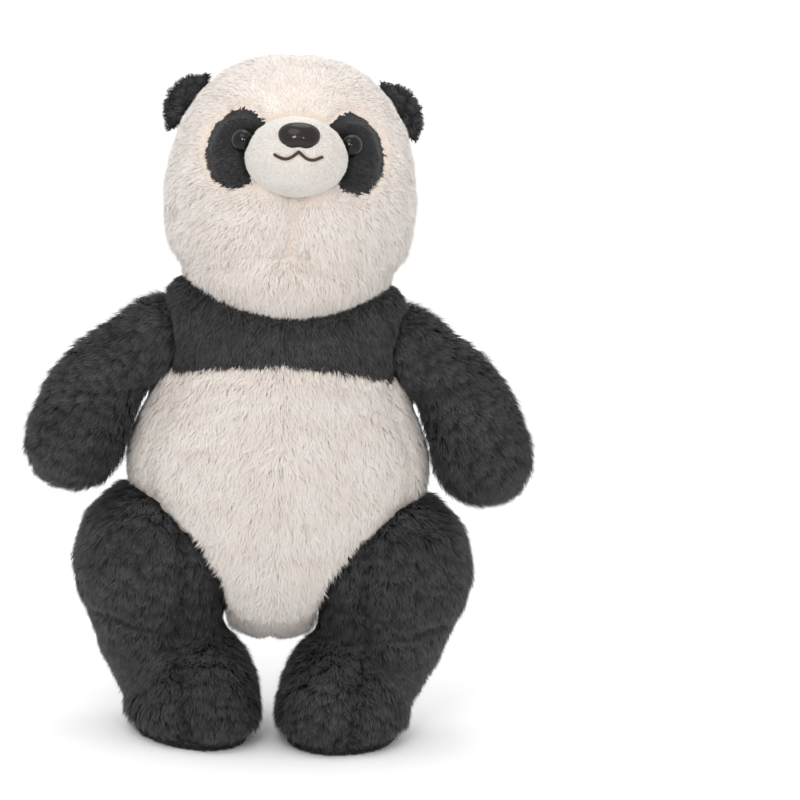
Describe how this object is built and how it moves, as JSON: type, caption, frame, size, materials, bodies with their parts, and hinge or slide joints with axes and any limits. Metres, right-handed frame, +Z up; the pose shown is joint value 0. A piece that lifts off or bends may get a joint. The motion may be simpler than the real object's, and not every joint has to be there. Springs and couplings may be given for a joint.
{
  "type": "plush panda toy",
  "caption": "Long-pile plush panda, standing, with padded muzzle, plastic eyes and nose, turning head and swinging limbs.",
  "frame": {"origin": "centre of the footprint box on the ground, under the soles", "axes": "+Z up, the face looks along -Y, +X is the toy's own left side"},
  "size_m": [0.305, 0.1748, 0.411],
  "materials": {
    "white_fur": "long soft pile, warm off-white",
    "black_fur": "long soft pile, charcoal",
    "muzzle_cloth": "short smooth pile, cream",
    "fibrefill": "loose white fibre, hidden",
    "nose_plastic": "glossy dark brown",
    "eye_plastic": "glossy black",
    "washer_plastic": "plain, hidden",
    "thread": "dark brown embroidery thread"
  },
  "bodies": {
    "torso": {"chest_yoke": "black_fur", "back_yoke": "black_fur", "belly_panel": "white_fur", "side_panel_left": "white_fur", "side_panel_right": "white_fur", "torso_stuffing": "fibrefill"},
    "neck": {"neck_wad": "fibrefill"},
    "head": {"head_face_left": "white_fur", "head_face_right": "white_fur", "head_back": "white_fur", "neck_collar": "white_fur", "head_stuffing": "fibrefill", "muzzle_cover": "muzzle_cloth", "muzzle_stuffing": "fibrefill", "nose": "nose_plastic", "nose_washer": "washer_plastic", "mouth_stitch": "thread", "eye_left": "eye_plastic", "eye_right": "eye_plastic", "eye_washer_left": "washer_plastic", "eye_washer_right": "washer_plastic", "eye_patch_left": "black_fur", "eye_patch_right": "black_fur"},
    "ear_left": {"ear_front_left": "black_fur", "ear_back_left": "black_fur"},
    "shoulder_left": {"shoulder_wad_left": "fibrefill"},
    "arm_left": {"arm_front_left": "black_fur", "arm_back_left": "black_fur", "arm_stuffing_left": "fibrefill"},
    "leg_left": {"leg_outer_left": "black_fur", "leg_inner_left": "black_fur", "leg_stuffing_left": "fibrefill", "sole_left": "black_fur"},
    "ear_right": {"ear_front_right": "black_fur", "ear_back_right": "black_fur"},
    "shoulder_right": {"shoulder_wad_right": "fibrefill"},
    "arm_right": {"arm_front_right": "black_fur", "arm_back_right": "black_fur", "arm_stuffing_right": "fibrefill"},
    "leg_right": {"leg_outer_right": "black_fur", "leg_inner_right": "black_fur", "leg_stuffing_right": "fibrefill", "sole_right": "black_fur"}
  },
  "joints": [
    {"name": "neck_turn", "type": "hinge", "parent": "torso", "child": "neck", "pos_m": [0, 0.01518, 0.3], "axis": [0, 0, 1], "range_deg": [-25, 25], "stiffness_Nm_per_rad": 1.5},
    {"name": "neck_nod", "type": "hinge", "parent": "neck", "child": "head", "pos_m": [0, 0.01518, 0.3], "axis": [1, 0, 0], "range_deg": [-12, 8], "stiffness_Nm_per_rad": 1.5},
    {"name": "ear_left_flex", "type": "hinge", "parent": "head", "child": "ear_left", "pos_m": [0.06283, 0.02918, 0.37566], "axis": [-0.5592, 0, 0.829], "range_deg": [-15, 15], "stiffness_Nm_per_rad": 0.05},
    {"name": "shoulder_left_swing", "type": "hinge", "parent": "torso", "child": "shoulder_left", "pos_m": [0.07, 0.01718, 0.231], "axis": [1, 0, 0], "range_deg": [-35, 25], "stiffness_Nm_per_rad": 0.6},
    {"name": "arm_left_lift", "type": "hinge", "parent": "shoulder_left", "child": "arm_left", "pos_m": [0.07, 0.01718, 0.231], "axis": [0, 1, 0], "range_deg": [-40, 0], "stiffness_Nm_per_rad": 0.6},
    {"name": "hip_left_swing", "type": "hinge", "parent": "torso", "child": "leg_left", "pos_m": [0.074, 0.01118, 0.105], "axis": [1, 0, 0], "range_deg": [-58, 15], "stiffness_Nm_per_rad": 2.5},
    {"name": "ear_right_flex", "type": "hinge", "parent": "head", "child": "ear_right", "pos_m": [-0.06283, 0.02918, 0.37566], "axis": [0.5592, 0, 0.829], "range_deg": [-15, 15], "stiffness_Nm_per_rad": 0.05},
    {"name": "shoulder_right_swing", "type": "hinge", "parent": "torso", "child": "shoulder_right", "pos_m": [-0.07, 0.01718, 0.231], "axis": [1, 0, 0], "range_deg": [-35, 25], "stiffness_Nm_per_rad": 0.6},
    {"name": "arm_right_lift", "type": "hinge", "parent": "shoulder_right", "child": "arm_right", "pos_m": [-0.07, 0.01718, 0.231], "axis": [0, 1, 0], "range_deg": [0, 40], "stiffness_Nm_per_rad": 0.6},
    {"name": "hip_right_swing", "type": "hinge", "parent": "torso", "child": "leg_right", "pos_m": [-0.074, 0.01118, 0.105], "axis": [1, 0, 0], "range_deg": [-58, 15], "stiffness_Nm_per_rad": 2.5}
  ]
}
